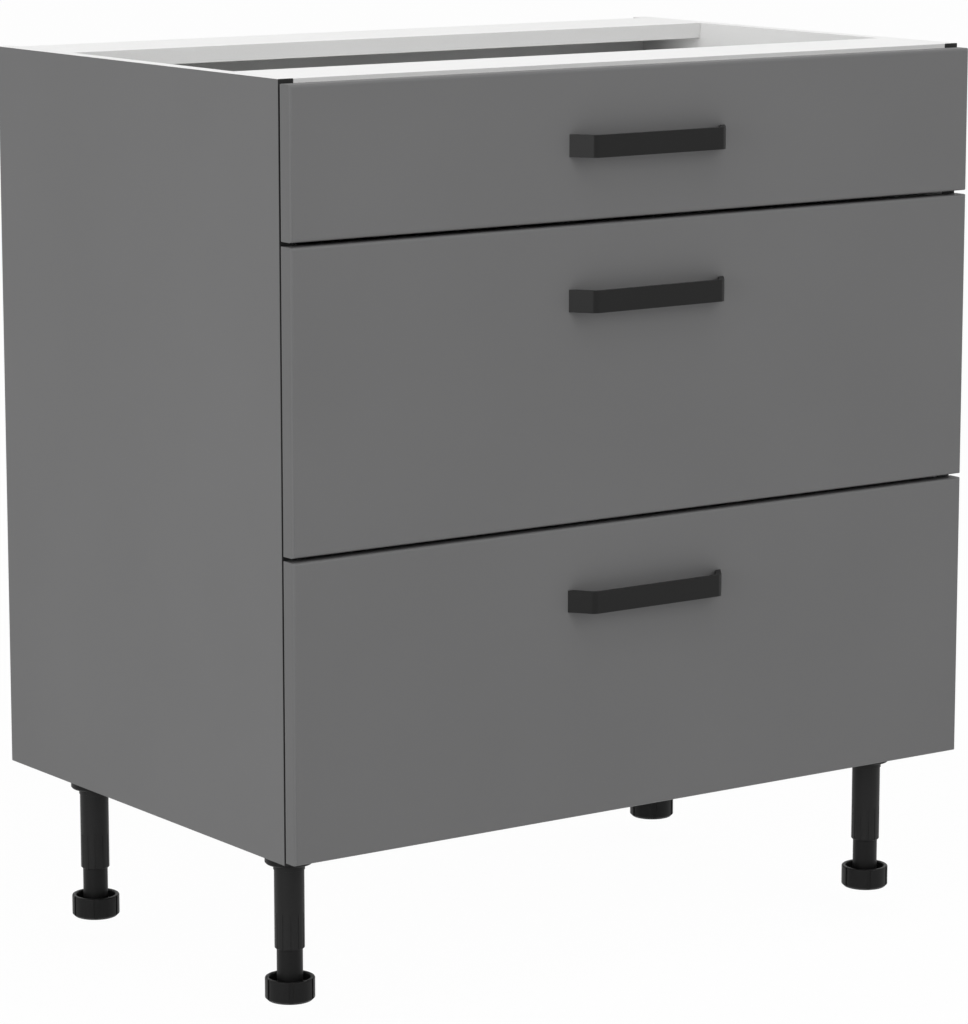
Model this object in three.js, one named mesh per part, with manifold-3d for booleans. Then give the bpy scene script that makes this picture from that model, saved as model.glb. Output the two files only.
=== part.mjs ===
// A kitchen base cabinet with one shallow and two deep drawers, on four adjustable legs.
// Millimetres. The cabinet stands on the floor at z = 0, its fronts face -Y, and +X is to the right.
// The origin lies on the floor, under the middle of the whole cabinet with its handles.

import * as THREE from 'three';
import { mergeVertices } from 'three/addons/utils/BufferGeometryUtils.js';
import Module from 'manifold-3d';

const wasm = await Module();
wasm.setup();

// Carcass boards
const cabinetWidth = 800;
const carcassHeight = 720;
const boardThickness = 16;
const railDepth = 100;
const backPanelThickness = 3;
const backPanelInset = 15;
const backPanelGrooveDepth = 8;
const bottomFrontSetback = 1;

// Fits shared by the whole cabinet
const boardGap = 0.2;
const seatGap = 0.2;
const grooveClearance = 0.3;

// Drawer fronts and the air round them
const frontThickness = 16;
const frontEdgeRadius = 3;
const frontStandOff = 2;
const topReveal = 4;
const bottomReveal = 3;
const gapBetweenFronts = 4;
const shallowFrontHeight = 141;
const deepDrawerCount = 2;

// Drawer boxes
const drawerBoardThickness = 12;
const drawerBottomThickness = 5;
const drawerGrooveDepth = 6;
const drawerGrooveHeight = 10;
const drawerBoxLength = 450;
const drawerBoxLift = 27;
const shallowBoxHeight = 80;
const deepBoxHeight = 200;

// Ball-bearing runners: three steel channels, one inside the other
const runnerLength = 450;
const runnerSetback = 2;
const spaceBehindSlides = 40;
const runnerSpace = 12.7;
const runnerHeight = 45.6;
const runnerLift = 37;
const sheetThickness = 1.2;
const raceDepth = 4.6;
const racePlay = 0.4;
const webPlay = 0.8;
const fixingHoleRadius = 2.2;
const fixingHoleEndInset = 37;
const fixingHoleCount = 3;

// Bow handles
const handleLength = 184;
const handleBarLength = 152;
const handleHeight = 21;
const handleProjection = 22;
const handleBarThickness = 4;
const handleLegThickness = 5;
const handleBossRadius = 6;
const handleBendRadius = 4;
const handleEdgeRadius = 0.8;
const handleBelowFrontTop = 70.5;

// Handle screws
const screwEndInset = 12;
const screwRadius = 2;
const screwHoleClearance = 0.25;
const screwHeadRadius = 4.3;
const screwHeadHeight = 2.6;
const screwGrip = 10;
const screwTipClearance = 2;
const driveSlotWidth = 1.2;
const driveSlotDepth = 1.2;

// Legs: a socket plate under the carcass, a tube, and a foot that screws out of the tube
const legHeight = 150;
const legSideInset = 47;
const legFrontInset = 66;
const legBackInset = 83;
const plateRadius = 23;
const plateHeight = 18;
const spigotRadius = 13;
const spigotLength = 12;
const spigotClearance = 0.2;
const collarRadius = 15;
const collarHeight = 5.5;
const tubeRadius = 14.3;
const tubeLength = 82;
const tubeEndChamfer = 0.8;
const stemRadius = 12.4;
const stemClearance = 0.3;
const stemInTube = 46;
const tubeCrownThickness = 6;
const footRadius = 23.7;
const footHeight = 22;
const footEdgeChamfer = 2.5;
const footCupRadius = 19.5;
const footCupDepth = 8;
const footGrooveCount = 6;
const footGrooveDepth = 1;
const footGrooveWidth = 4;

// Roundness of turned and bent pieces
const turnedSegments = 32;
const holeSegments = 12;
const edgeSegments = 3;
const cutMargin = 1;

// Places worked out from the sizes above
const halfWidth = cabinetWidth / 2;
const innerHalfWidth = halfWidth - boardThickness;
const slideLength = Math.max(drawerBoxLength - frontStandOff, runnerLength + runnerSetback);
const carcassDepth = slideLength + spaceBehindSlides + backPanelThickness + backPanelInset;
const overallDepth = handleProjection + frontThickness + frontStandOff + carcassDepth;
const carcassRear = overallDepth / 2;
const carcassFront = carcassRear - carcassDepth;
const frontBackFace = carcassFront - frontStandOff;
const frontFace = frontBackFace - frontThickness;
const carcassBottom = legHeight;
const carcassTop = legHeight + carcassHeight;
const backPanelFront = carcassRear - backPanelInset - backPanelThickness;
const backPanelRear = carcassRear - backPanelInset;
const frontsHeight = carcassHeight - topReveal - bottomReveal - gapBetweenFronts * deepDrawerCount;
const deepFrontHeight = (frontsHeight - shallowFrontHeight) / deepDrawerCount;
const boxOuterHalfWidth = innerHalfWidth - runnerSpace;
const boxInnerHalfWidth = boxOuterHalfWidth - drawerBoardThickness;
const runnerFront = carcassFront + runnerSetback;
const screwOffset = handleLength / 2 - screwEndInset;

const finishes = {
  greyLacquer: { color: 0x6c6c6c, roughness: 0.6, metalness: 0 },
  whiteMelamine: { color: 0xf2f2f0, roughness: 0.55, metalness: 0 },
  hardboard: { color: 0xe9e8e4, roughness: 0.7, metalness: 0 },
  zincSteel: { color: 0xb9bcbe, roughness: 0.35, metalness: 0.9 },
  blackMetal: { color: 0x2b2b2b, roughness: 0.55, metalness: 0.3 },
  blackPlastic: { color: 0x242424, roughness: 0.5, metalness: 0 },
};

function makeMesh(name, geometry, finish) {
  const mesh = new THREE.Mesh(geometry, new THREE.MeshStandardMaterial(finish));
  mesh.name = name;
  return mesh;
}

function toSolid(geometry) {
  const bare = geometry.clone();
  bare.deleteAttribute('normal');
  bare.deleteAttribute('uv');
  const merged = mergeVertices(bare);
  const vertProperties = new Float32Array(merged.attributes.position.array);
  const triVerts = new Uint32Array(merged.index.array);
  return new wasm.Manifold(new wasm.Mesh({ numProp: 3, vertProperties, triVerts }));
}

function toGeometry(solid) {
  const mesh = solid.getMesh();
  const geometry = new THREE.BufferGeometry();
  geometry.setAttribute('position', new THREE.BufferAttribute(new Float32Array(mesh.vertProperties), 3));
  geometry.setIndex(new THREE.BufferAttribute(new Uint32Array(mesh.triVerts), 1));
  geometry.computeVertexNormals();
  return geometry;
}

// A rectangular board between two corners.
function blockGeometry(low, high) {
  const size = high.map((value, axis) => value - low[axis]);
  const geometry = new THREE.BoxGeometry(...size);
  return geometry.translate(...low.map((value, axis) => value + size[axis] / 2));
}

function shapeFrom(points) {
  return new THREE.Shape(points.map(([x, y]) => new THREE.Vector2(x, y)));
}

// Pushes a section drawn in X and Z along +Y.
function extrudeAlongY(section, length) {
  const geometry = new THREE.ExtrudeGeometry(section, { depth: length, bevelEnabled: false });
  return geometry.rotateX(Math.PI / 2).translate(0, length, 0);
}

// Turns a profile of [radius, height] points round the Z axis.
function turned(profile) {
  const points = profile.map(([radius, height]) => new THREE.Vector2(radius, height));
  return new THREE.LatheGeometry(points, turnedSegments).rotateX(Math.PI / 2);
}

// A round rod along Y, from y = start to y = end, at the given X and Z.
function rodAlongY(radius, start, end, x, z) {
  const geometry = new THREE.CylinderGeometry(radius, radius, end - start, holeSegments);
  return geometry.translate(x, (start + end) / 2, z);
}

// A side panel is grooved down its inner face for the back panel. side is -1 for left, +1 for right.
function sidePanel(name, side) {
  const outer = side * halfWidth;
  const inner = side * innerHalfWidth;
  const grooveFloor = side * (innerHalfWidth + backPanelGrooveDepth);
  const grooveFront = backPanelFront - grooveClearance;
  const grooveRear = backPanelRear + grooveClearance;
  const plan = shapeFrom([
    [outer, carcassFront],
    [outer, carcassRear],
    [inner, carcassRear],
    [inner, grooveRear],
    [grooveFloor, grooveRear],
    [grooveFloor, grooveFront],
    [inner, grooveFront],
    [inner, carcassFront],
  ]);
  const geometry = new THREE.ExtrudeGeometry(plan, { depth: carcassHeight, bevelEnabled: false });
  const mesh = makeMesh(name, geometry, finishes.greyLacquer);
  mesh.position.z = carcassBottom;
  return mesh;
}

// The bottom panel lies between the sides and is grooved on top for the back panel.
function bottomPanel() {
  const halfLength = innerHalfWidth - boardGap;
  const board = blockGeometry(
    [-halfLength, carcassFront + bottomFrontSetback, carcassBottom],
    [halfLength, carcassRear, carcassBottom + boardThickness],
  );
  const groove = blockGeometry(
    [-halfWidth, backPanelFront - grooveClearance, carcassBottom + boardThickness - backPanelGrooveDepth],
    [halfWidth, backPanelRear + grooveClearance, carcassBottom + boardThickness + cutMargin],
  );
  const solid = toSolid(board).subtract(toSolid(groove));
  return makeMesh('bottom_panel', toGeometry(solid), finishes.whiteMelamine);
}

function backPanel() {
  const halfLength = innerHalfWidth + backPanelGrooveDepth - grooveClearance;
  const lowEdge = carcassBottom + boardThickness - backPanelGrooveDepth + grooveClearance;
  const geometry = blockGeometry(
    [-halfLength, backPanelFront, lowEdge],
    [halfLength, backPanelRear, carcassTop],
  );
  return makeMesh('back_panel', geometry, finishes.hardboard);
}

// A flat rail between the sides at the top, which the worktop rests on.
function topRail(name, frontEdge) {
  const halfLength = innerHalfWidth - boardGap;
  const geometry = blockGeometry(
    [-halfLength, frontEdge, carcassTop - boardThickness],
    [halfLength, frontEdge + railDepth, carcassTop],
  );
  return makeMesh(name, geometry, finishes.whiteMelamine);
}

// The socket plate is screwed under the bottom panel and takes the tube's spigot from below.
function legPlate(name) {
  const socketRadius = spigotRadius + spigotClearance;
  const socketDepth = spigotLength + spigotClearance;
  const geometry = turned([
    [0, -seatGap],
    [plateRadius, -seatGap],
    [plateRadius, -plateHeight],
    [socketRadius, -plateHeight],
    [socketRadius, socketDepth - plateHeight],
    [0, socketDepth - plateHeight],
    [0, -seatGap],
  ].reverse());
  return makeMesh(name, geometry, finishes.blackPlastic);
}

function legTube(name) {
  const shoulder = -plateHeight - seatGap;
  const lowEnd = -plateHeight - tubeLength;
  const boreRadius = stemRadius + stemClearance;
  const boreTop = shoulder - tubeCrownThickness;
  const geometry = turned([
    [0, shoulder + spigotLength],
    [spigotRadius, shoulder + spigotLength],
    [spigotRadius, shoulder],
    [collarRadius, shoulder],
    [collarRadius, shoulder - collarHeight],
    [tubeRadius, shoulder - collarHeight],
    [tubeRadius, lowEnd + tubeEndChamfer],
    [tubeRadius - tubeEndChamfer, lowEnd],
    [boreRadius, lowEnd],
    [boreRadius, boreTop],
    [0, boreTop],
    [0, shoulder + spigotLength],
  ].reverse());
  return makeMesh(name, geometry, finishes.blackPlastic);
}

// The foot is one moulding: a stem that screws into the tube, and a cup with grip grooves.
function legFoot(name) {
  const stemTop = -plateHeight - tubeLength + stemInTube;
  const cupTop = -legHeight + footHeight;
  const cupFloor = cupTop - footCupDepth;
  const outline = turned([
    [0, -legHeight],
    [footRadius - footEdgeChamfer, -legHeight],
    [footRadius, -legHeight + footEdgeChamfer],
    [footRadius, cupTop],
    [footCupRadius, cupTop],
    [footCupRadius, cupFloor],
    [stemRadius, cupFloor],
    [stemRadius, stemTop],
    [0, stemTop],
  ]);
  let solid = toSolid(outline);
  for (let index = 0; index < footGrooveCount; index += 1) {
    const groove = blockGeometry(
      [footRadius - footGrooveDepth, -footGrooveWidth / 2, -legHeight - cutMargin],
      [footRadius + cutMargin, footGrooveWidth / 2, cupTop + cutMargin],
    );
    groove.rotateZ((index / footGrooveCount) * Math.PI * 2);
    solid = solid.subtract(toSolid(groove));
  }
  return makeMesh(name, toGeometry(solid), finishes.blackPlastic);
}

// One leg, hung from the underside of the carcass at the group's origin.
function leg(corner, x, y) {
  const group = new THREE.Group();
  group.add(legPlate(`leg_plate_${corner}`));
  group.add(legTube(`leg_tube_${corner}`));
  group.add(legFoot(`leg_foot_${corner}`));
  group.position.set(x, y, carcassBottom);
  return group;
}

// A runner channel's section: a web with a flange at each end, and lips that hug the balls.
// web and tip are distances from the side panel, and reach is half of the channel's height.
function channelSection(side, web, tip, reach, lip) {
  const into = Math.sign(tip - web);
  const face = (distance) => side * (innerHalfWidth - distance);
  const points = [
    [face(web), -reach],
    [face(tip), -reach],
    [face(tip), -reach + lip],
    [face(tip - into * sheetThickness), -reach + lip],
    [face(tip - into * sheetThickness), -reach + sheetThickness],
    [face(web + into * sheetThickness), -reach + sheetThickness],
  ];
  const mirrored = points.map(([x, z]) => [x, -z]).reverse();
  return shapeFrom([...points, ...mirrored]);
}

// Drills the web of a channel with evenly spaced fixing holes.
function drillFixingHoles(geometry, side) {
  let solid = toSolid(geometry);
  const spacing = (runnerLength - fixingHoleEndInset * 2) / (fixingHoleCount - 1);
  for (let index = 0; index < fixingHoleCount; index += 1) {
    const hole = new THREE.CylinderGeometry(
      fixingHoleRadius,
      fixingHoleRadius,
      runnerSpace + cutMargin,
      holeSegments,
    );
    hole.rotateZ(Math.PI / 2);
    hole.translate(side * (innerHalfWidth - runnerSpace / 2), fixingHoleEndInset + spacing * index, 0);
    solid = solid.subtract(toSolid(hole));
  }
  return toGeometry(solid);
}

// The runner on one side of a drawer: a cabinet member, an intermediate member and a drawer member.
function runner(level, side, word) {
  const cabinetReach = runnerHeight / 2;
  const middleReach = cabinetReach - raceDepth - racePlay;
  const drawerReach = middleReach - raceDepth - racePlay;
  const cabinetWeb = seatGap;
  const middleWeb = cabinetWeb + sheetThickness + webPlay;
  const drawerWeb = runnerSpace - seatGap;
  const middleTip = drawerWeb - sheetThickness - webPlay;
  const cabinetTip = middleTip - racePlay;
  const drawerTip = middleWeb + sheetThickness + webPlay;
  const cabinetSection = channelSection(side, cabinetWeb, cabinetTip, cabinetReach, raceDepth);
  const middleSection = channelSection(side, middleWeb, middleTip, middleReach, raceDepth);
  const drawerSection = channelSection(side, drawerWeb, drawerTip, drawerReach, raceDepth);
  const cabinetBar = drillFixingHoles(extrudeAlongY(cabinetSection, runnerLength), side);
  const middleBar = extrudeAlongY(middleSection, runnerLength);
  const drawerBar = drillFixingHoles(extrudeAlongY(drawerSection, runnerLength), side);
  const group = new THREE.Group();
  group.add(makeMesh(`${level}_runner_cabinet_member_${word}`, cabinetBar, finishes.zincSteel));
  group.add(makeMesh(`${level}_runner_middle_member_${word}`, middleBar, finishes.zincSteel));
  group.add(makeMesh(`${level}_runner_drawer_member_${word}`, drawerBar, finishes.zincSteel));
  group.position.y = runnerFront;
  return group;
}

// A drawer front: a board with rounded front edges, two handle holes and a groove for the bottom.
function drawerFront(level, height) {
  const flatHalfWidth = halfWidth - frontEdgeRadius;
  const face = shapeFrom([
    [-flatHalfWidth, frontEdgeRadius],
    [flatHalfWidth, frontEdgeRadius],
    [flatHalfWidth, height - frontEdgeRadius],
    [-flatHalfWidth, height - frontEdgeRadius],
  ]);
  const board = new THREE.ExtrudeGeometry(face, {
    depth: frontThickness,
    bevelEnabled: true,
    bevelSize: frontEdgeRadius,
    bevelThickness: frontEdgeRadius,
    bevelSegments: edgeSegments,
  });
  board.rotateX(Math.PI / 2);
  board.translate(0, frontBackFace + frontEdgeRadius, 0);
  const behind = blockGeometry(
    [-cabinetWidth, frontBackFace, -cutMargin],
    [cabinetWidth, frontBackFace + frontEdgeRadius * 2 + cutMargin, height + cutMargin],
  );
  const grooveHalfWidth = boxInnerHalfWidth + drawerGrooveDepth;
  const grooveLow = drawerBoxLift + drawerGrooveHeight - grooveClearance;
  const groove = blockGeometry(
    [-grooveHalfWidth, frontBackFace - drawerGrooveDepth, grooveLow],
    [grooveHalfWidth, frontBackFace + cutMargin, grooveLow + drawerBottomThickness + grooveClearance * 2],
  );
  let solid = toSolid(board).subtract(toSolid(behind)).subtract(toSolid(groove));
  for (const side of [-1, 1]) {
    const hole = rodAlongY(
      screwRadius + screwHoleClearance,
      frontFace - cutMargin,
      frontBackFace + cutMargin,
      side * screwOffset,
      height - handleBelowFrontTop,
    );
    solid = solid.subtract(toSolid(hole));
  }
  return makeMesh(`${level}_front`, toGeometry(solid), finishes.greyLacquer);
}

// A drawer side: a board grooved near its lower edge for the drawer bottom.
function drawerSide(level, side, word, height) {
  const outer = side * boxOuterHalfWidth;
  const inner = side * boxInnerHalfWidth;
  const grooveFloor = side * (boxInnerHalfWidth + drawerGrooveDepth);
  const grooveLow = drawerGrooveHeight - grooveClearance;
  const grooveHigh = drawerGrooveHeight + drawerBottomThickness + grooveClearance;
  const section = shapeFrom([
    [outer, 0],
    [outer, height],
    [inner, height],
    [inner, grooveHigh],
    [grooveFloor, grooveHigh],
    [grooveFloor, grooveLow],
    [inner, grooveLow],
    [inner, 0],
  ]);
  const geometry = extrudeAlongY(section, drawerBoxLength - boardGap);
  const mesh = makeMesh(`${level}_side_${word}`, geometry, finishes.whiteMelamine);
  mesh.position.set(0, frontBackFace + boardGap, drawerBoxLift);
  return mesh;
}

function drawerBottom(level) {
  const halfLength = boxInnerHalfWidth + drawerGrooveDepth - grooveClearance;
  const low = drawerBoxLift + drawerGrooveHeight;
  const geometry = blockGeometry(
    [-halfLength, frontBackFace - drawerGrooveDepth + grooveClearance, low],
    [halfLength, frontBackFace + drawerBoxLength, low + drawerBottomThickness],
  );
  return makeMesh(`${level}_bottom`, geometry, finishes.whiteMelamine);
}

// The drawer back stands on the drawer bottom, between the sides.
function drawerBack(level, height) {
  const halfLength = boxInnerHalfWidth - boardGap;
  const rear = frontBackFace + drawerBoxLength;
  const low = drawerBoxLift + drawerGrooveHeight + drawerBottomThickness + boardGap;
  const geometry = blockGeometry(
    [-halfLength, rear - drawerBoardThickness, low],
    [halfLength, rear, drawerBoxLift + height],
  );
  return makeMesh(`${level}_back`, geometry, finishes.whiteMelamine);
}

// Half of a bow's length falls from halfFoot at the front board to halfBar at the bar, whose face
// lies at y = reach. The bends between the slanted ends and the bar are rounded.
function bowOutline(halfFoot, halfBar, footFace, reach) {
  const lean = (halfFoot - halfBar) / (footFace - reach);
  const bendUp = handleBendRadius / Math.hypot(1, lean);
  const outline = new THREE.Shape();
  outline.moveTo(-halfFoot, footFace);
  outline.lineTo(-halfBar - bendUp * lean, reach + bendUp);
  outline.quadraticCurveTo(-halfBar, reach, -halfBar + handleBendRadius, reach);
  outline.lineTo(halfBar - handleBendRadius, reach);
  outline.quadraticCurveTo(halfBar, reach, halfBar + bendUp * lean, reach + bendUp);
  outline.lineTo(halfFoot, footFace);
  return outline;
}

// The full shape that a handle is hollowed out of, with softened edges and a flat back.
function handleBlank() {
  const inset = handleEdgeRadius;
  const outline = bowOutline(
    handleLength / 2 - inset,
    handleBarLength / 2 - inset,
    -seatGap,
    inset - handleProjection,
  );
  const bow = new THREE.ExtrudeGeometry(outline, {
    depth: handleHeight - inset * 2,
    bevelEnabled: true,
    bevelSize: inset,
    bevelThickness: inset,
    bevelSegments: edgeSegments,
    curveSegments: edgeSegments,
  });
  bow.translate(0, 0, inset - handleHeight / 2);
  const wall = blockGeometry(
    [-handleLength, -seatGap, -handleHeight],
    [handleLength, handleProjection, handleHeight],
  );
  return toSolid(bow).subtract(toSolid(wall));
}

// The room for the fingers behind a handle's bar and between its legs.
function fingerRoom() {
  const lean = (handleLength - handleBarLength) / 2 / handleProjection;
  const legWidth = handleLegThickness * Math.hypot(1, lean);
  const outline = bowOutline(
    handleLength / 2 - legWidth + lean * cutMargin,
    handleBarLength / 2 - legWidth + lean * handleBarThickness,
    cutMargin,
    handleBarThickness - handleProjection,
  );
  const room = new THREE.ExtrudeGeometry(outline, {
    depth: handleHeight + cutMargin * 2,
    bevelEnabled: false,
    curveSegments: edgeSegments,
  });
  return room.translate(0, 0, -handleHeight / 2 - cutMargin);
}

// A bow handle: a flat bar on two slanted legs, with a round boss behind each leg for its screw.
function handle(level) {
  const pair = (radius, start, end) =>
    [-1, 1].map((side) => toSolid(rodAlongY(radius, start, end, side * screwOffset, 0)));
  const [leftBoss, rightBoss] = pair(handleBossRadius, -handleProjection, cutMargin * 2);
  const [leftBore, rightBore] = pair(
    screwRadius + screwHoleClearance,
    -screwGrip - screwTipClearance,
    cutMargin,
  );
  const room = toSolid(fingerRoom()).subtract(leftBoss).subtract(rightBoss);
  const solid = handleBlank().subtract(room).subtract(leftBore).subtract(rightBore);
  const mesh = makeMesh(`${level}_handle`, toGeometry(solid), finishes.blackMetal);
  mesh.position.y = frontFace;
  return mesh;
}

// A slotted screw, driven from inside the drawer through the front into the handle's boss.
function handleScrew(level, side, word) {
  const headFace = frontBackFace + seatGap;
  const shank = rodAlongY(screwRadius, frontFace - screwGrip, headFace + cutMargin, 0, 0);
  const head = new THREE.CylinderGeometry(screwHeadRadius, screwHeadRadius, screwHeadHeight, turnedSegments / 2);
  head.translate(0, headFace + screwHeadHeight / 2, 0);
  const slot = blockGeometry(
    [-screwHeadRadius - cutMargin, headFace + screwHeadHeight - driveSlotDepth, -driveSlotWidth / 2],
    [screwHeadRadius + cutMargin, headFace + screwHeadHeight + cutMargin, driveSlotWidth / 2],
  );
  const solid = toSolid(shank).add(toSolid(head)).subtract(toSolid(slot));
  const mesh = makeMesh(`${level}_handle_screw_${word}`, toGeometry(solid), finishes.zincSteel);
  mesh.position.x = side * screwOffset;
  return mesh;
}

// One drawer with its runners. The group stands on the lower edge of the drawer's front.
function drawer(level, frontHeight, boxHeight, lowEdge) {
  const group = new THREE.Group();
  group.add(drawerFront(level, frontHeight));
  const grip = new THREE.Group();
  grip.add(handle(level));
  group.add(grip);
  grip.position.z = frontHeight - handleBelowFrontTop;
  for (const [side, word] of [[-1, 'left'], [1, 'right']]) {
    grip.add(handleScrew(level, side, word));
    group.add(drawerSide(level, side, word, boxHeight));
    const slide = runner(level, side, word);
    slide.position.z = drawerBoxLift + runnerLift;
    group.add(slide);
  }
  group.add(drawerBottom(level));
  group.add(drawerBack(level, boxHeight));
  group.position.z = lowEdge;
  return group;
}

function carcass() {
  const group = new THREE.Group();
  group.add(sidePanel('side_panel_left', -1));
  group.add(sidePanel('side_panel_right', 1));
  group.add(bottomPanel());
  group.add(backPanel());
  group.add(topRail('front_rail', carcassFront));
  group.add(topRail('back_rail', backPanelFront - boardGap - railDepth));
  return group;
}

function legs() {
  const group = new THREE.Group();
  const legX = halfWidth - legSideInset;
  const frontLegY = carcassFront + legFrontInset;
  const backLegY = carcassRear - legBackInset;
  group.add(leg('front_left', -legX, frontLegY));
  group.add(leg('front_right', legX, frontLegY));
  group.add(leg('back_left', -legX, backLegY));
  group.add(leg('back_right', legX, backLegY));
  return group;
}

function drawers() {
  const group = new THREE.Group();
  const lowest = carcassBottom + bottomReveal;
  const deepPitch = deepFrontHeight + gapBetweenFronts;
  group.add(drawer('bottom_drawer', deepFrontHeight, deepBoxHeight, lowest));
  group.add(drawer('middle_drawer', deepFrontHeight, deepBoxHeight, lowest + deepPitch));
  group.add(drawer('top_drawer', shallowFrontHeight, shallowBoxHeight, lowest + deepPitch * deepDrawerCount));
  return group;
}

const cabinet = new THREE.Group();
cabinet.add(carcass());
cabinet.add(legs());
cabinet.add(drawers());

export default cabinet;
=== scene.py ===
import math

import bmesh
import bpy
from mathutils import Matrix, Vector


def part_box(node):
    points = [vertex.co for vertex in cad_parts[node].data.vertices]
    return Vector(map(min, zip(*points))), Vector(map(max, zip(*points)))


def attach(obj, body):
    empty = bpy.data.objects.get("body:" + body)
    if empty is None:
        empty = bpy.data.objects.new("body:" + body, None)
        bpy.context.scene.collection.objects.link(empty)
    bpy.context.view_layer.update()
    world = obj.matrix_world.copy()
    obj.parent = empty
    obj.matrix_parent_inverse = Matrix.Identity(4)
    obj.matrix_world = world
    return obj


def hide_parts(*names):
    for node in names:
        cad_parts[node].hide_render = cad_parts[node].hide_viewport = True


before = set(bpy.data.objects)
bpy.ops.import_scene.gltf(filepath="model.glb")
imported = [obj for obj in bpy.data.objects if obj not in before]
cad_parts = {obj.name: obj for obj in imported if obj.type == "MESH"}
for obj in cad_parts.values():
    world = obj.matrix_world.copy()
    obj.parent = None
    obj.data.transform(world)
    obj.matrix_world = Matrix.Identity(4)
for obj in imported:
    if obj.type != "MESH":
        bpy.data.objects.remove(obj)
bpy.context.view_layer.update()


# ======================================================================================
# Side panels: two chipboard sides, 16 mm thick, in grey foil outside and white foil inside. A
# thin black band is glued on the front edges and a white one on the top edges. The rear edges
# are left raw, and a saw groove down the inner face takes the back panel.

both_sides = ((-1, "left"), (1, "right"))
edge_softness = 0.0005
front_band_thickness = 0.0006
back_groove_depth = 0.008
back_groove_play = 0.0003

# Edges that turn more than this are rounded. A face counts as facing along an axis when that
# axis has more than this share of its direction.
sharp_angle = math.radians(35)
mostly = 0.5

# How far a cutter reaches past the faces that it opens
cut_margin = 0.001
groove_margin = 0.002


def choose(piece):
    """Makes one piece the only selected one, and the one that is worked on."""
    bpy.ops.object.select_all(action="DESELECT")
    bpy.context.view_layer.objects.active = piece
    piece.select_set(True)


def block(name, low, high):
    """Adds a box between two corners, with its place in its mesh."""
    bpy.ops.object.select_all(action="DESELECT")
    middle = [(a + b) / 2 for a, b in zip(low, high)]
    size = [b - a for a, b in zip(low, high)]
    bpy.ops.mesh.primitive_cube_add(size=1, location=middle)
    piece = bpy.context.object
    piece.scale = size
    piece.name = name
    piece.data.name = name
    bpy.ops.object.transform_apply(location=True, rotation=True, scale=True)
    return piece


def carve(piece, cutter):
    """Takes the cutter's shape out of the piece, and then takes the cutter away."""
    choose(piece)
    step = piece.modifiers.new("carve", "BOOLEAN")
    step.operation = "DIFFERENCE"
    step.solver = "EXACT"
    step.object = cutter
    bpy.ops.object.modifier_apply(modifier=step.name)
    bpy.data.objects.remove(cutter)


def soften(piece, radius, segments=2):
    """Rounds the sharp edges of a piece and shades it smooth between them."""
    choose(piece)
    step = piece.modifiers.new("soften", "BEVEL")
    step.width = radius
    step.segments = segments
    step.limit_method = "ANGLE"
    step.angle_limit = sharp_angle
    bpy.ops.object.modifier_apply(modifier=step.name)
    bpy.ops.object.shade_smooth_by_angle(angle=sharp_angle)
    step = piece.modifiers.new("keep_flats_flat", "WEIGHTED_NORMAL")
    step.keep_sharp = True
    step.weight = 100
    bpy.ops.object.modifier_apply(modifier=step.name)


def everywhere(middle, normal):
    return True


def paint(piece, material, test=everywhere):
    """Puts a finish on the faces whose middle and direction pass the test."""
    piece.data.materials.append(material)
    number = len(piece.data.materials) - 1
    for face in piece.data.polygons:
        if test(face.center, face.normal):
            face.material_index = number


def seat(piece, body, finish, *nodes):
    """Fixes a piece to the body it moves with, in the place of its plain solid."""
    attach(piece, body)
    if nodes:
        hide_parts(*nodes)


def blank(name, gloss):
    """A new material, with its nodes and its main shader."""
    material = bpy.data.materials.new(name)
    material.use_nodes = True
    shader = material.node_tree.nodes["Principled BSDF"]
    shader.inputs["Specular IOR Level"].default_value = gloss
    return material, material.node_tree, shader


def wire(tree, start, end):
    tree.links.new(start, end)


def noise(tree, place, scale, detail):
    """The strength of a cloudy pattern at each place."""
    clouds = tree.nodes.new("ShaderNodeTexNoise")
    clouds.inputs["Scale"].default_value = scale
    clouds.inputs["Detail"].default_value = detail
    wire(tree, place, clouds.inputs["Vector"])
    return clouds.outputs["Fac"]


def figure(tree, operation, *terms):
    """The result of a sum whose terms are numbers or the values of other nodes."""
    node = tree.nodes.new("ShaderNodeMath")
    node.operation = operation
    for socket, term in zip(node.inputs, terms):
        if isinstance(term, (int, float)):
            socket.default_value = term
        else:
            wire(tree, term, socket)
    return node.outputs["Value"]


def emboss(tree, height, strength, distance):
    """Small hills and hollows in a surface, from a pattern of heights."""
    bump = tree.nodes.new("ShaderNodeBump")
    bump.inputs["Strength"].default_value = strength
    bump.inputs["Distance"].default_value = distance
    wire(tree, height, bump.inputs["Height"])
    wire(tree, bump.outputs["Normal"], tree.nodes["Principled BSDF"].inputs["Normal"])
    return bump


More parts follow.
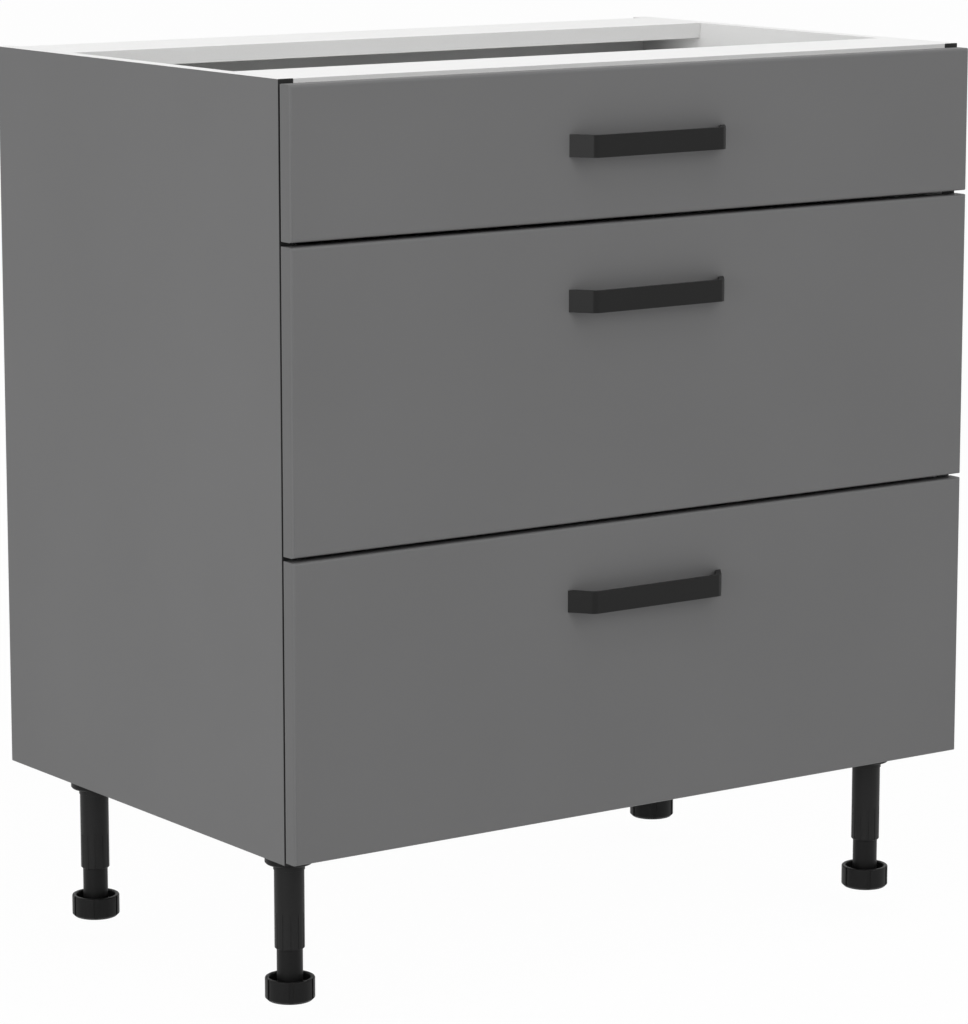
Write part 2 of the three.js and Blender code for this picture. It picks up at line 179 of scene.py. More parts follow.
def coated(name, dark, light, roughness, grain, relief, gloss=0.5, metallic=0.0, stretch=(1, 1, 1)):
    """A surface whose colour drifts softly, with a fine grain in its colour, shine and relief."""
    drift_scale = 5.0
    shine_swing = 0.05
    material, tree, shader = blank(name, gloss)
    shader.inputs["Metallic"].default_value = metallic
    fitted = tree.nodes.new("ShaderNodeMapping")
    fitted.inputs["Scale"].default_value = stretch
    place = tree.nodes.new("ShaderNodeTexCoord")
    wire(tree, place.outputs["Object"], fitted.inputs["Vector"])
    drift = noise(tree, fitted.outputs["Vector"], scale=drift_scale, detail=4.0)
    grains = noise(tree, fitted.outputs["Vector"], scale=grain, detail=3.0)
    half_drift = figure(tree, "MULTIPLY", drift, 0.5)
    shade = tree.nodes.new("ShaderNodeValToRGB")
    darkest, lightest = shade.color_ramp.elements
    darkest.position = 0.35
    darkest.color = (*dark, 1)
    lightest.position = 0.65
    lightest.color = (*light, 1)
    wire(tree, figure(tree, "MULTIPLY_ADD", grains, 0.5, half_drift), shade.inputs["Fac"])
    wire(tree, shade.outputs["Color"], shader.inputs["Base Color"])
    shine = tree.nodes.new("ShaderNodeMapRange")
    shine.inputs["From Min"].default_value = 0.3
    shine.inputs["From Max"].default_value = 0.7
    shine.inputs["To Min"].default_value = roughness - shine_swing
    shine.inputs["To Max"].default_value = roughness + shine_swing
    wire(tree, grains, shine.inputs["Value"])
    wire(tree, shine.outputs["Result"], shader.inputs["Roughness"])
    emboss(tree, grains, strength=0.5, distance=relief)
    return material


def chipped(name, scale):
    """Raw chipboard: flat chips of pale and darker wood pressed together, with small pits."""
    material, tree, shader = blank(name, gloss=0.25)
    shader.inputs["Roughness"].default_value = 0.85
    place = tree.nodes.new("ShaderNodeTexCoord")
    chips = tree.nodes.new("ShaderNodeTexVoronoi")
    chips.inputs["Scale"].default_value = scale
    chips.inputs["Randomness"].default_value = 1.0
    wire(tree, place.outputs["Object"], chips.inputs["Vector"])
    split = tree.nodes.new("ShaderNodeSeparateColor")
    wire(tree, chips.outputs["Color"], split.inputs["Color"])
    wood = tree.nodes.new("ShaderNodeValToRGB")
    wood.color_ramp.elements[0].color = (0.19, 0.11, 0.055, 1)
    wood.color_ramp.elements[1].color = (0.56, 0.40, 0.24, 1)
    wood.color_ramp.elements.new(0.45).color = (0.40, 0.27, 0.15, 1)
    wire(tree, split.outputs["Red"], wood.inputs["Fac"])
    wire(tree, wood.outputs["Color"], shader.inputs["Base Color"])
    emboss(tree, chips.outputs["Distance"], strength=0.6, distance=0.0003)
    return material


grey_foil = coated(
    "grey_board_foil", (0.142, 0.142, 0.143), (0.152, 0.152, 0.153),
    roughness=0.56, grain=900, relief=0.00004, gloss=0.3,
)
white_foil = coated(
    "white_board_foil", (0.855, 0.855, 0.85), (0.885, 0.885, 0.88),
    roughness=0.5, grain=1100, relief=0.00003, gloss=0.35,
)
black_band = coated(
    "black_edge_band", (0.012, 0.012, 0.012), (0.018, 0.018, 0.018),
    roughness=0.5, grain=900, relief=0.00003, gloss=0.2,
)
bare_chipboard = chipped("bare_chipboard", scale=620)

back_low, back_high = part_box("back_panel")
behind_back = back_high.y + groove_margin
for side, word in both_sides:
    low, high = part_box(f"side_panel_{word}")
    panel = block(f"side_board_{word}", low, high)
    inner_face, outer_face = (high.x, low.x) if side < 0 else (low.x, high.x)
    across = sorted((inner_face - side * groove_margin, inner_face + side * back_groove_depth))
    groove = block(
        "groove",
        (across[0], back_low.y - back_groove_play, low.z - cut_margin),
        (across[1], back_high.y + back_groove_play, high.z + cut_margin),
    )
    carve(panel, groove)
    band_line = low.y + front_band_thickness
    bpy.ops.object.mode_set(mode="EDIT")
    bpy.ops.mesh.select_all(action="SELECT")
    bpy.ops.mesh.bisect(plane_co=(0, band_line, 0), plane_no=(0, 1, 0))
    bpy.ops.object.mode_set(mode="OBJECT")
    soften(panel, edge_softness)
    paint(panel, white_foil)
    paint(panel, grey_foil, lambda middle, normal: normal.x * side > mostly)
    paint(panel, black_band, lambda middle, normal: middle.y < band_line)
    core = (abs(inner_face) + edge_softness, abs(outer_face) - edge_softness)
    paint(
        panel,
        bare_chipboard,
        lambda middle, normal: normal.y > mostly and middle.y > behind_back
        or abs(normal.z) < mostly and core[0] < abs(middle.x) < core[1] and middle.y > 0,
    )
    seat(panel, "carcass", "grey_board", f"side_panel_{word}")


# ======================================================================================
# Bottom panel: a white-coated chipboard shelf between the sides. Its front edge has a white
# band, its rear edge is raw, and a groove along its top takes the back panel's lower edge.

low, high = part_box("bottom_panel")
floor_board = block("bottom_board", low, high)
groove_floor = high.z - back_groove_depth
groove = block(
    "groove",
    (low.x - cut_margin, back_low.y - back_groove_play, groove_floor),
    (high.x + cut_margin, back_high.y + back_groove_play, high.z + cut_margin),
)
carve(floor_board, groove)
soften(floor_board, edge_softness)
paint(floor_board, white_foil)
paint(
    floor_board,
    bare_chipboard,
    lambda middle, normal: normal.y > mostly and middle.y > behind_back
    or groove_floor - edge_softness < middle.z < high.z - edge_softness
    and back_low.y - cut_margin < middle.y < back_high.y + cut_margin,
)
seat(floor_board, "carcass", "white_board", "bottom_panel")


# ======================================================================================
# Back panel: 3 mm hardboard slid down the grooves from above. Its room side is painted white,
# and its rear shows the brown pressed fibres with the fine mesh mark of the press screen.

thin_softness = 0.0003


def pressed_fibre(name):
    """Brown hardboard: short fibres in all directions over the square mesh of the press screen."""
    material = coated(
        name, (0.205, 0.125, 0.070), (0.255, 0.160, 0.092),
        roughness=0.7, grain=420, relief=0.00012, gloss=0.3,
    )
    tree = material.node_tree
    place = tree.nodes["Texture Coordinate"]
    fibres = tree.nodes["Bump"]
    waves = []
    for direction in ("X", "Z"):
        wave = tree.nodes.new("ShaderNodeTexWave")
        wave.wave_type = "BANDS"
        wave.bands_direction = direction
        wave.inputs["Scale"].default_value = 190
        wave.inputs["Distortion"].default_value = 0.4
        wire(tree, place.outputs["Object"], wave.inputs["Vector"])
        waves.append(wave.outputs["Fac"])
    mesh_mark = emboss(tree, figure(tree, "MULTIPLY", *waves), strength=0.35, distance=0.0002)
    wire(tree, fibres.outputs["Normal"], mesh_mark.inputs["Normal"])
    return material


white_paint = coated(
    "white_back_paint", (0.85, 0.85, 0.845), (0.88, 0.88, 0.875),
    roughness=0.45, grain=700, relief=0.00003, gloss=0.4,
)
brown_fibre = pressed_fibre("brown_hardboard")

back_board = block("back_board", back_low, back_high)
soften(back_board, thin_softness)
paint(back_board, brown_fibre)
paint(back_board, white_paint, lambda middle, normal: normal.y < -mostly or normal.z > mostly)
seat(back_board, "carcass", "hardboard", "back_panel")


# ======================================================================================
# Top rails: two flat white boards, 100 mm wide, dowelled between the sides to tie them together
# and to carry the worktop. Their front edges are painted light grey as painted shade, for the
# shade that falls on them, and the rear one stops at the back panel.

squarely = 0.9
# Painted shade: a light grey that stands for the shade on the white front edges of the rails.
painted_shade_band = coated(
    "painted_shade_edge_band", (0.63, 0.63, 0.625), (0.67, 0.67, 0.665),
    roughness=0.5, grain=1000, relief=0.00003, gloss=0.35,
)
for name in ("front_rail", "back_rail"):
    low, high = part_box(name)
    rail = block(f"{name}_board", low, high)
    soften(rail, edge_softness)
    paint(rail, white_foil)
    # The front edges get the grey of painted shade in place of the white foil.
    paint(rail, painted_shade_band, lambda middle, normal: normal.y < -squarely)
    seat(rail, "carcass", "white_board", name)


# ======================================================================================
# Leg socket plates: round black plastic sockets, 46 mm across, screwed under the bottom panel.
# A rounded rim runs round the lower edge, and the tube's spigot pushes up into the middle.


def turned(name, place, rings, sides=64):
    """Draws a round piece out of a disc, ring by ring. Each ring is a radius and a height."""
    bpy.ops.object.select_all(action="DESELECT")
    radius, height = rings[0]
    bpy.ops.mesh.primitive_circle_add(
        vertices=sides, radius=radius, fill_type="NGON", location=(place[0], place[1], height)
    )
    piece = bpy.context.object
    piece.name = name
    piece.data.name = name
    bpy.ops.object.transform_apply(location=True, rotation=True, scale=True)
    bpy.ops.object.mode_set(mode="EDIT")
    bpy.ops.mesh.select_all(action="SELECT")
    for next_radius, next_height in rings[1:]:
        bpy.ops.mesh.extrude_region_move(
            TRANSFORM_OT_translate={"value": (0, 0, next_height - height)}
        )
        ratio = next_radius / radius
        bpy.ops.transform.resize(
            value=(ratio, ratio, 1), center_override=(place[0], place[1], next_height)
        )
        radius, height = next_radius, next_height
    bpy.ops.mesh.select_all(action="SELECT")
    bpy.ops.mesh.normals_make_consistent(inside=False)
    bpy.ops.object.mode_set(mode="OBJECT")
    return piece


def repeat(piece, name, move):
    """A copy of a finished piece with a mesh of its own, moved to its place."""
    twin = piece.copy()
    twin.data = piece.data.copy()
    twin.name = name
    twin.data.name = name
    twin.data.transform(move)
    bpy.context.scene.collection.objects.link(twin)
    return twin


corners = ("front_left", "front_right", "back_left", "back_right")
plate_low, plate_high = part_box("leg_plate_front_left")
leg_middle = ((plate_low.x + plate_high.x) / 2, (plate_low.y + plate_high.y) / 2)
moves = {}
for corner in corners:
    corner_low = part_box(f"leg_plate_{corner}")[0]
    moves[corner] = Matrix.Translation(corner_low - plate_low)


def seat_at_corners(piece, name, body, node):
    """Seats a finished leg piece at the front left corner, and copies of it at the others."""
    for corner in corners[1:]:
        twin = repeat(piece, f"{name}_{corner}", moves[corner])
        seat(twin, body.format(corner), "black_plastic", f"{node}_{corner}")
    piece.name = f"{name}_{corners[0]}"
    seat(piece, body.format(corners[0]), "black_plastic", f"{node}_{corners[0]}")


moulded_black = coated(
    "black_leg_plastic", (0.004, 0.004, 0.004), (0.007, 0.007, 0.007),
    roughness=0.45, grain=650, relief=0.00005, gloss=0.16,
)
moulded_softness = 0.0004
plate_radius = (plate_high.x - plate_low.x) / 2
socket_radius = 0.0132
socket_depth = 0.0122
rim_chamfer = 0.0016
neck_step = 0.0007
neck_start = 0.0042
neck_height = 0.0038

plate = turned(
    "leg_socket",
    leg_middle,
    [
        (socket_radius, plate_low.z + socket_depth),
        (socket_radius, plate_low.z),
        (plate_radius - rim_chamfer, plate_low.z),
        (plate_radius, plate_low.z + rim_chamfer),
        (plate_radius, plate_high.z - neck_start),
        (plate_radius - neck_step, plate_high.z - neck_height),
        (plate_radius - neck_step, plate_high.z),
    ],
)
soften(plate, moulded_softness)
paint(plate, moulded_black)
seat_at_corners(plate, "leg_socket", "carcass", "leg_plate")


# ======================================================================================
# Leg tubes: black moulded tubes, 28.6 mm across, with a collar at the top that stops against
# the socket and a spigot above it. Twelve fine grip flutes run up the lowest 35 mm.

tube_low, tube_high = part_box("leg_tube_front_left")
tube_radius = 0.0143
tube_bore = 0.0127
tube_sides = 96
end_chamfer = 0.0008
collar_gap = 0.0002
collar_height = 0.0055
collar_step = 0.0007
collar_top = plate_low.z - collar_gap
collar_low = collar_top - collar_height
crown_thickness = 0.006
spigot_radius = 0.013
flute_count = 12
flute_height = 0.035
flute_depth = 0.0004
flute_top = tube_low.z + flute_height
flute_softness = 0.00015
sleeve_black = coated(
    "black_sleeve_plastic", (0.011, 0.011, 0.011), (0.015, 0.015, 0.015),
    roughness=0.45, grain=650, relief=0.00005, gloss=0.16,
)


def pick(piece, kind, test):
    """Selects the faces or edges that pass the test, in a piece that is open for editing."""
    bpy.ops.mesh.select_mode(type=kind)
    bpy.ops.mesh.select_all(action="DESELECT")
    shape = bmesh.from_edit_mesh(piece.data)
    for part in shape.faces if kind == "FACE" else shape.edges:
        part.select_set(test(part))
    bmesh.update_edit_mesh(piece.data)


def in_a_flute(face):
    """Whether a face lies low on the tube's outer wall, on the steps where a flute runs."""
    middle = face.calc_center_median()
    out = Vector((middle.x - leg_middle[0], middle.y - leg_middle[1]))
    step = math.floor(math.atan2(out.y, out.x) / math.tau * tube_sides)
    outer_wall = out.length > (tube_radius + tube_bore) / 2 and abs(face.normal.z) < mostly
    low_down = tube_low.z + end_chamfer < middle.z < flute_top
    return outer_wall and low_down and step % (tube_sides // flute_count) == 0


tube = turned(
    "leg_sleeve",
    leg_middle,
    [
        (tube_bore, collar_top - crown_thickness),
        (tube_bore, tube_low.z),
        (tube_radius - end_chamfer, tube_low.z),
        (tube_radius, tube_low.z + end_chamfer),
        (tube_radius, flute_top),
        (tube_radius, collar_low),
        (tube_radius + collar_step, collar_low),
        (tube_radius + collar_step, collar_top),
        (spigot_radius, collar_top),
        (spigot_radius, tube_high.z),
    ],
    sides=tube_sides,
)
bpy.ops.object.mode_set(mode="EDIT")
pick(tube, "FACE", in_a_flute)
bpy.ops.mesh.extrude_region_move(TRANSFORM_OT_translate={"value": (0, 0, 0)})
share = 1 - flute_depth / tube_radius
bpy.ops.transform.resize(value=(share, share, 1), center_override=(*leg_middle, tube_low.z))
bpy.ops.object.mode_set(mode="OBJECT")
soften(tube, flute_softness)
paint(tube, sleeve_black)
seat_at_corners(tube, "leg_sleeve", "carcass", "leg_tube")


# ======================================================================================
# Feet: each is one black moulding, a 25 mm stem that screws into the tube and a wide cup that
# stands on the floor. Six grip grooves run down the cup, so it can be turned by hand.

foot_low, foot_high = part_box("leg_foot_front_left")
foot_radius = 0.0237
foot_height = 0.022
foot_chamfer = 0.0025
cup_radius = 0.0195
cup_depth = 0.008
cup_draft = 0.0006
cup_floor = foot_height - cup_depth
rim_round = 0.0012
rim_corner = 0.0004
stem_radius = 0.0124
stem_chamfer = 0.001
grip_count = 6
grip_width = 0.004
grip_depth = 0.001

foot = turned(
    "leg_cup",
    leg_middle,
    [
        (foot_radius - foot_chamfer, foot_low.z),
        (foot_radius, foot_low.z + foot_chamfer),
        (foot_radius, foot_height - rim_round),
        (foot_radius - rim_corner, foot_height - rim_corner),
        (foot_radius - rim_round, foot_height),
        (cup_radius + rim_round, foot_height),
        (cup_radius + rim_corner, foot_height - rim_corner),
        (cup_radius, foot_height - rim_round),
        (cup_radius - cup_draft, cup_floor),
        (stem_radius, cup_floor),
        (stem_radius, foot_high.z - stem_chamfer),
        (stem_radius - stem_chamfer, foot_high.z),
    ],
    sides=60,
)
wall = leg_middle[0] + foot_radius
grips = block(
    "grips",
    (wall - grip_depth, leg_middle[1] - grip_width / 2, foot_low.z - cut_margin),
    (wall + groove_margin, leg_middle[1] + grip_width / 2, foot_height + cut_margin),
)
bpy.ops.object.mode_set(mode="EDIT")
bpy.ops.mesh.select_all(action="SELECT")
for turn in range(grip_count - 1):
    bpy.ops.mesh.duplicate()
    bpy.ops.transform.rotate(
        value=math.radians(360 / grip_count), orient_axis="Z", center_override=(*leg_middle, 0)
    )
bpy.ops.object.mode_set(mode="OBJECT")
carve(foot, grips)
soften(foot, moulded_softness)
paint(foot, moulded_black)
seat_at_corners(foot, "leg_cup", "foot_{}", "leg_foot")


# ======================================================================================
# Runners: full-extension ball-bearing slides of folded, zinc-plated steel, three channels one
# inside the other. Each is screwed to a side panel and to the drawer's side.

levels = ("bottom", "middle", "top")
zinc_plate = coated(
    "zinc_plated_steel", (0.50, 0.515, 0.53), (0.66, 0.675, 0.69),
    roughness=0.33, grain=160, relief=0.00002, metallic=0.95, stretch=(1, 0.25, 1),
)


def refinish(node, material):
    """Gives a material to a plain solid of the frame, which stays as it is."""
    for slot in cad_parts[node].material_slots:
        slot.material = material


for level in levels:
    for word in ("left", "right"):
        for member in ("cabinet", "middle", "drawer"):
            refinish(f"{level}_drawer_runner_{member}_member_{word}", zinc_plate)


# ======================================================================================
# Runner screws: cross-recess steel screws, three through the web of each cabinet member into
# the side panel, with flat heads that clear the sliding channel, and three with taller round
# heads through each drawer member into the drawer's side.

web_thickness = 0.0012
hole_count = 3
first_hole = 0.037
head_radius = 0.0035
cross_length = 0.0032
cross_width = 0.0008
screw_steel = coated(
    "bright_screw_steel", (0.55, 0.56, 0.57), (0.70, 0.71, 0.72),
    roughness=0.28, grain=500, relief=0.00002, metallic=1.0,
)

# A head's rings, and the reach of its cross, in shares of the head's radius and height
head_rings = ((1, 0), (1, 0.45), (0.86, 0.8), (0.6, 1))
cross_floor = 0.35
cross_top = 1.5


def screw_head(name, height):
    """A round head with a cross cut into it, lying on the ground with its top upwards."""
    rings = [(head_radius * across, height * up) for across, up in head_rings]
    head = turned(name, (0, 0), rings, sides=20)
    for length, width in ((cross_length, cross_width), (cross_width, cross_length)):
        cross = block(
            "cross",
            (-length / 2, -width / 2, height * cross_floor),
            (length / 2, width / 2, height * cross_top),
        )
        carve(head, cross)
    paint(head, screw_steel)
    return head


def row_of(piece, name, places, turn):
    """Copies of one piece, turned and set in a row, and joined into a single piece."""
    copies = [repeat(piece, name, Matrix.Translation(place) @ turn) for place in places]
    choose(copies[0])
    for other in copies[1:]:
        other.select_set(True)
    bpy.ops.object.join()
    return copies[0]


flat_head = screw_head("flat_head", height=0.0006)
round_head = screw_head("round_head", height=0.0018)
for level in levels:
    for side, word in both_sides:
        for member, head, facing, body in (
            ("cabinet", flat_head, -side, "carcass"),
            ("drawer", round_head, side, f"{level}_drawer"),
        ):
            low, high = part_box(f"{level}_drawer_runner_{member}_member_{word}")
            web_back = low.x if facing > 0 else high.x
            web_face = web_back + facing * web_thickness
            step = (high.y - low.y - first_hole * 2) / (hole_count - 1)
            places = [
                Vector((web_face, low.y + first_hole + step * number, (low.z + high.z) / 2))
                for number in range(hole_count)
            ]
            row = row_of(
                head,
                f"{level}_{member}_runner_screws_{word}",
                places,
                Matrix.Rotation(math.radians(90 * facing), 4, "Y"),
            )
            seat(row, body, "zinc_steel")
for head in (flat_head, round_head):
    bpy.data.objects.remove(head)


# ======================================================================================
# Release levers: thin black plastic springs inside the drawer members. A finger pressed on the
# bent tip lets the drawer off its runners when it is fully out.

lever_gap = 0.0002
lever_thickness = 0.0012
lever_setback = 0.185
lever_root_length = 0.006
lever_half_height = 0.0045
face_slack = 0.00001
lever_plastic = coated(
    "black_lever_plastic", (0.010, 0.010, 0.010), (0.016, 0.016, 0.016),
    roughness=0.4, grain=900, relief=0.00003, gloss=0.3,
)

# Each length of a lever: how far it runs on, how far it leaves the web, and its taper
lever_lengths = ((0.014, 0.0, 0.8), (0.012, 0.001, 0.8), (0.004, 0.0022, 0.9))

for level in levels:
    for side, word in both_sides:
        low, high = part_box(f"{level}_drawer_runner_drawer_member_{word}")
        web_face = (high.x if side < 0 else low.x) + side * (web_thickness + lever_gap)
        height = (low.z + high.z) / 2
        across = sorted((web_face, web_face + side * lever_thickness))
        front_end = low.y + lever_setback
        lever = block(
            f"{level}_release_lever_{word}",
            (across[0], front_end, height - lever_half_height),
            (across[1], front_end + lever_root_length, height + lever_half_height),
        )
        bpy.ops.object.mode_set(mode="EDIT")
        far_end = front_end + lever_root_length
        for ahead, aside, taper in lever_lengths:
            pick(lever, "FACE", lambda face: face.calc_center_median().y > far_end - face_slack)
            bpy.ops.mesh.extrude_region_move(
                TRANSFORM_OT_translate={"value": (side * aside, ahead, 0)}
            )
            far_end += ahead
            bpy.ops.transform.resize(
                value=(1, 1, taper), center_override=(web_face, far_end, height)
            )
        bpy.ops.object.mode_set(mode="OBJECT")
        soften(lever, thin_softness)
        paint(lever, lever_plastic)
        seat(lever, f"{level}_drawer", "black_plastic")


# ======================================================================================
# Drawer sides: 12 mm boards wrapped in white foil, grooved near the lower edge for the drawer
# bottom. Their rear ends are sawn and left raw.

drawer_groove_depth = 0.006
drawer_groove_play = 0.0003
drawer_foil = coated(
    "white_drawer_foil", (0.85, 0.85, 0.845), (0.88, 0.88, 0.875),
    roughness=0.48, grain=1200, relief=0.00003, gloss=0.4,
)

for level in levels:
    bottom_low, bottom_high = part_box(f"{level}_drawer_bottom")
    for side, word in both_sides:
        low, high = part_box(f"{level}_drawer_side_{word}")
        wall = block(f"{level}_drawer_wall_{word}", low, high)
        inner_face = high.x if side < 0 else low.x
        groove_floor = inner_face + side * drawer_groove_depth
        across = sorted((inner_face - side * groove_margin, groove_floor))
        groove = block(
            "groove",
            (across[0], low.y - cut_margin, bottom_low.z - drawer_groove_play),
            (across[1], high.y + cut_margin, bottom_high.z + drawer_groove_play),
        )
        carve(wall, groove)
        soften(wall, edge_softness)
        paint(wall, drawer_foil)
        paint(wall, bare_chipboard, lambda middle, normal: normal.y > mostly)
        seat(wall, f"{level}_drawer", "drawer_board", f"{level}_drawer_side_{word}")


# ======================================================================================
# Drawer bottoms and backs: the bottom is a 5 mm sheet, white above and brown below, slid into
# the grooves from behind, and the white back stands on it between the sides.

for level in levels:
    low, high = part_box(f"{level}_drawer_bottom")
    sheet = block(f"{level}_drawer_sheet", low, high)
    soften(sheet, thin_softness)
    paint(sheet, drawer_foil)
    paint(sheet, brown_fibre, lambda middle, normal: normal.z < -mostly or normal.y > mostly)
    seat(sheet, f"{level}_drawer", "drawer_board", f"{level}_drawer_bottom")
    low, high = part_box(f"{level}_drawer_back")
    back = block(f"{level}_drawer_rear", low, high)
    soften(back, edge_softness)
    paint(back, drawer_foil)
    seat(back, f"{level}_drawer", "drawer_board", f"{level}_drawer_back")


# ======================================================================================
# Drawer fronts: 16 mm boards with rounded edges, in matt grey foil with a white back. A groove
# in the back takes the drawer bottom, and two bores take the handle's screws.

front_radius = 0.003
front_softness = 0.0007
back_foil_depth = 0.0002
plain_border = 0.01
edge_slack = 0.0001
bend_steps = 6
screw_bore = 0.00225
lying_back = Matrix.Rotation(math.radians(-90), 4, "X")
front_foil = coated(
    "grey_front_foil", (0.125, 0.125, 0.126), (0.134, 0.134, 0.135),
    roughness=0.5, grain=1000, relief=0.00003, gloss=0.32,
)


def rod(centre, radius, start, end, sides=24):
    """A round cutter that lies from front to back through a point."""
    piece = turned("rod", (0, 0), [(radius, start), (radius, end)], sides=sides)
    piece.data.transform(Matrix.Translation((centre.x, 0, centre.z)) @ lying_back)
    return piece


for level in levels:
    low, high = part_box(f"{level}_drawer_front")
    front = block(f"{level}_drawer_face", low, high)
    bpy.ops.object.mode_set(mode="EDIT")
    pick(front, "EDGE", lambda edge: all(end.co.y < low.y + edge_slack for end in edge.verts))
    bpy.ops.mesh.bevel(offset=front_radius, segments=bend_steps, affect="EDGES")
    bpy.ops.object.mode_set(mode="OBJECT")
    bottom_low, bottom_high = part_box(f"{level}_drawer_bottom")
    groove_low = bottom_low.z - drawer_groove_play
    groove_high = bottom_high.z + drawer_groove_play
    groove = block(
        "groove",
        (bottom_low.x - drawer_groove_play, high.y - drawer_groove_depth, groove_low),
        (bottom_high.x + drawer_groove_play, high.y + cut_margin, groove_high),
    )
    carve(front, groove)
    for word in ("left", "right"):
        screw_low, screw_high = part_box(f"{level}_drawer_handle_screw_{word}")
        centre = (screw_low + screw_high) / 2
        carve(front, rod(centre, screw_bore, low.y - cut_margin, high.y + cut_margin))
    soften(front, front_softness)
    paint(front, front_foil)
    paint(
        front,
        white_foil,
        lambda middle, normal: normal.y > squarely and middle.y > high.y - back_foil_depth,
    )
    paint(
        front,
        bare_chipboard,
        lambda middle, normal: low.y + front_radius + cut_margin < middle.y < high.y - cut_margin
        and abs(middle.x) < bottom_high.x + cut_margin
        and low.z + plain_border < middle.z < high.z - plain_border,
    )
    seat(front, f"{level}_drawer", "grey_front", f"{level}_drawer_front")


# ======================================================================================
# Handles: black powder-coated bow handles, cast in one piece. A flat bar, 21 mm high, stands
# 22 mm off the front on two slanted legs, and a round boss behind each leg takes its screw.

bar_length = 0.152
bar_thickness = 0.004
leg_thickness = 0.005
bend_radius = 0.004
boss_radius = 0.006
handle_softness = 0.0008
powder_black = coated(
    "black_powder_coat", (0.004, 0.004, 0.004), (0.007, 0.007, 0.0068),
    roughness=0.36, grain=1400, relief=0.00004, gloss=0.2,
)

# The hollow's and the boss cutter's reach behind the handle, and the bore's before its screw
hollow_reach = 0.004
boss_reach = 0.006
bore_reach = 0.002

for level in levels:
    low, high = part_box(f"{level}_drawer_handle")
    middle = (low + high) / 2
    lean = (high.x - bar_length / 2) / (high.y - low.y)
    inner_foot = high.x - leg_thickness * math.hypot(1, lean)
    inner_bar = low.y + bar_thickness
    hollow_low = (-high.x, inner_bar, low.z - cut_margin)
    hollow_high = (high.x, high.y + hollow_reach, high.z + cut_margin)
    bows = []
    for name, low_corner, high_corner, half_foot, bar_face in (
        (f"{level}_drawer_pull", low, high, high.x, low.y),
        ("hollow", hollow_low, hollow_high, inner_foot, inner_bar),
    ):
        bow = block(name, low_corner, high_corner)
        bpy.ops.object.mode_set(mode="EDIT")
        for side in (-1, 1):
            bpy.ops.mesh.select_all(action="SELECT")
            bpy.ops.mesh.bisect(
                plane_co=(side * half_foot, high.y, middle.z),
                plane_no=(side, -lean, 0),
                use_fill=True,
                clear_outer=True,
            )
        pick(
            bow,
            "EDGE",
            lambda edge: all(end.co.y < bar_face + edge_slack for end in edge.verts)
            and abs(edge.verts[0].co.z - edge.verts[1].co.z) > edge_slack,
        )
        bpy.ops.mesh.bevel(offset=bend_radius, segments=bend_steps, affect="EDGES")
        bpy.ops.object.mode_set(mode="OBJECT")
        bows.append(bow)
    handle, hollow = bows
    screws = [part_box(f"{level}_drawer_handle_screw_{word}") for word in ("left", "right")]
    for screw_low, screw_high in screws:
        centre = (screw_low + screw_high) / 2
        carve(hollow, rod(centre, boss_radius, low.y, high.y + boss_reach, sides=32))
    carve(handle, hollow)
    for screw_low, screw_high in screws:
        centre = (screw_low + screw_high) / 2
        carve(handle, rod(centre, screw_bore, screw_low.y - bore_reach, high.y + cut_margin))
    soften(handle, handle_softness, segments=3)
    paint(handle, powder_black)
    seat(handle, f"{level}_drawer", "black_metal", f"{level}_drawer_handle")


# ======================================================================================
# Handle screws: slotted zinc-plated screws, driven from inside the drawer through the front
# into the handle's bosses.

for level in levels:
    for word in ("left", "right"):
        refinish(f"{level}_drawer_handle_screw_{word}", screw_steel)


# ======================================================================================
# Bumpers: soft grey discs stuck on the back of each front near its four corners. They keep the
# front 2 mm off the edges of the side panels and quieten its closing.

bumper_reach = 0.392
bumper_inset = 0.015
bumper_softness = 0.0001
bumper_rings = (
    (0.0035, 0.00005), (0.0035, 0.0009), (0.0031, 0.0014), (0.0022, 0.0018), (0.0010, 0.0019)
)
bumper_rubber = coated(
    "grey_bumper_rubber", (0.30, 0.30, 0.30), (0.36, 0.36, 0.36),
    roughness=0.6, grain=800, relief=0.00003, gloss=0.4,
)
bumper = turned("bumper", (0, 0), bumper_rings, sides=24)
soften(bumper, bumper_softness)
paint(bumper, bumper_rubber)
for level in levels:
    low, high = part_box(f"{level}_drawer_front")
    for side, word in both_sides:
        for height, place in ((low.z + bumper_inset, "low"), (high.z - bumper_inset, "high")):
            move = Matrix.Translation((side * bumper_reach, high.y, height))
            pad = repeat(bumper, f"{level}_bumper_{word}_{place}", move @ lying_back)
            seat(pad, f"{level}_drawer", "black_plastic")
bpy.data.objects.remove(bumper)


# ======================================================================================
# Studio: a wide, plain, pale floor that runs out of sight, and soft light from all sides with
# broad lamps at the left, in front and overhead. The floor lies low enough to leave the feet in
# sight when they are screwed right out.

floor_height = -0.026
floor_width = 80
floor_white = 0.97
soft_light = 0.55


def white_to_the_eye(tree, share):
    """A value of share for what the camera, a mirror or glass sees, and nothing for the rest."""
    path = tree.nodes.new("ShaderNodeLightPath")
    seen = figure(tree, "MAXIMUM", path.outputs["Is Camera Ray"], path.outputs["Is Glossy Ray"])
    any_seen = figure(tree, "MAXIMUM", seen, path.outputs["Is Transmission Ray"])
    return figure(tree, "MULTIPLY", any_seen, share)


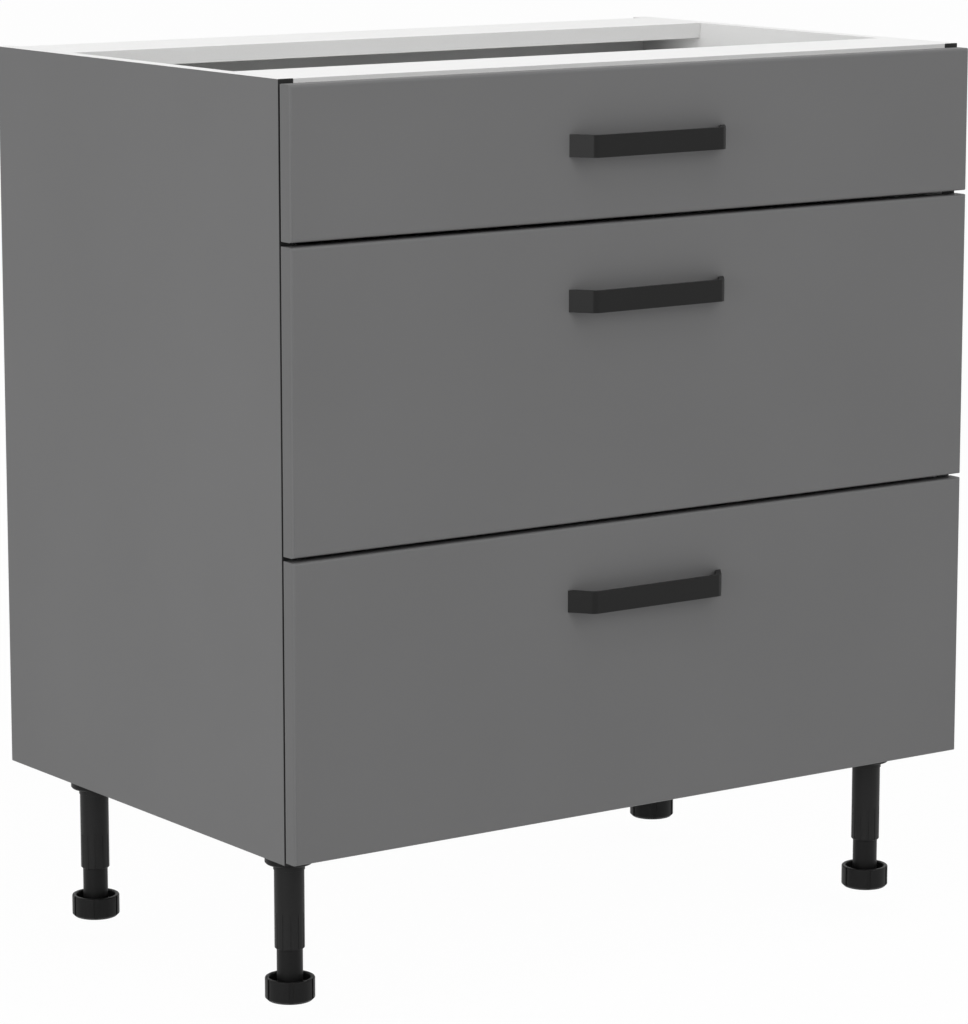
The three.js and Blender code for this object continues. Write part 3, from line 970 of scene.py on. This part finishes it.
bpy.ops.object.select_all(action="DESELECT")
bpy.ops.mesh.primitive_plane_add(size=floor_width, location=(0, 0, floor_height))
studio_floor = bpy.context.object
studio_floor.name = "studio_floor"
bpy.ops.object.transform_apply(location=True, rotation=True, scale=True)
floor_paint, tree, matt = blank("studio_floor_paint", gloss=0.1)
matt.inputs["Base Color"].default_value = (0.88, 0.88, 0.88, 1)
matt.inputs["Roughness"].default_value = 0.9
glow = tree.nodes.new("ShaderNodeEmission")
glow.inputs["Color"].default_value = (1, 1, 1, 1)
glow.inputs["Strength"].default_value = 1.0
mixed = tree.nodes.new("ShaderNodeMixShader")
wire(tree, white_to_the_eye(tree, floor_white), mixed.inputs["Fac"])
wire(tree, matt.outputs["BSDF"], mixed.inputs[1])
wire(tree, glow.outputs["Emission"], mixed.inputs[2])
wire(tree, mixed.outputs["Shader"], tree.nodes["Material Output"].inputs["Surface"])
studio_floor.data.materials.append(floor_paint)

studio = bpy.data.worlds.new("studio_light")
bpy.context.scene.world = studio
studio.use_nodes = True
tree = studio.node_tree
sky = tree.nodes["Background"]
sky.inputs["Color"].default_value = (1, 1, 1, 1)
brightness = figure(tree, "ADD", white_to_the_eye(tree, 1 - soft_light), soft_light)
wire(tree, brightness, sky.inputs["Strength"])

# Each lamp's name, place, width in metres and power in watts
lamps = (
    ("left_lamp", (-3.4, -1.3, 1.1), 1.6, 29),
    ("front_lamp", (0.5, -4.4, 2.8), 2.2, 44),
    ("top_lamp", (-0.4, -1.0, 4.2), 4.0, 58),
)
target = Vector((0, 0, 0.45))
for name, place, width, power in lamps:
    bpy.ops.object.select_all(action="DESELECT")
    bpy.ops.object.light_add(type="AREA", location=place)
    lamp = bpy.context.object
    lamp.name = name
    lamp.data.shape = "SQUARE"
    lamp.data.size = width
    lamp.data.energy = power
    lamp.rotation_euler = (Vector(place) - target).to_track_quat("Z", "Y").to_euler()

camera_place = (-2.458, -3.453, 1.165)
camera_dip = 10.18
camera_turn = -35.34
bpy.ops.object.select_all(action="DESELECT")
bpy.ops.object.camera_add(
    location=camera_place,
    rotation=(math.radians(90 - camera_dip), 0, math.radians(camera_turn)),
)
camera = bpy.context.object
camera.data.sensor_width = 36
camera.data.lens = 150.93
camera.data.clip_end = 200
bpy.context.scene.camera = camera
bpy.context.scene.view_settings.view_transform = "Standard"
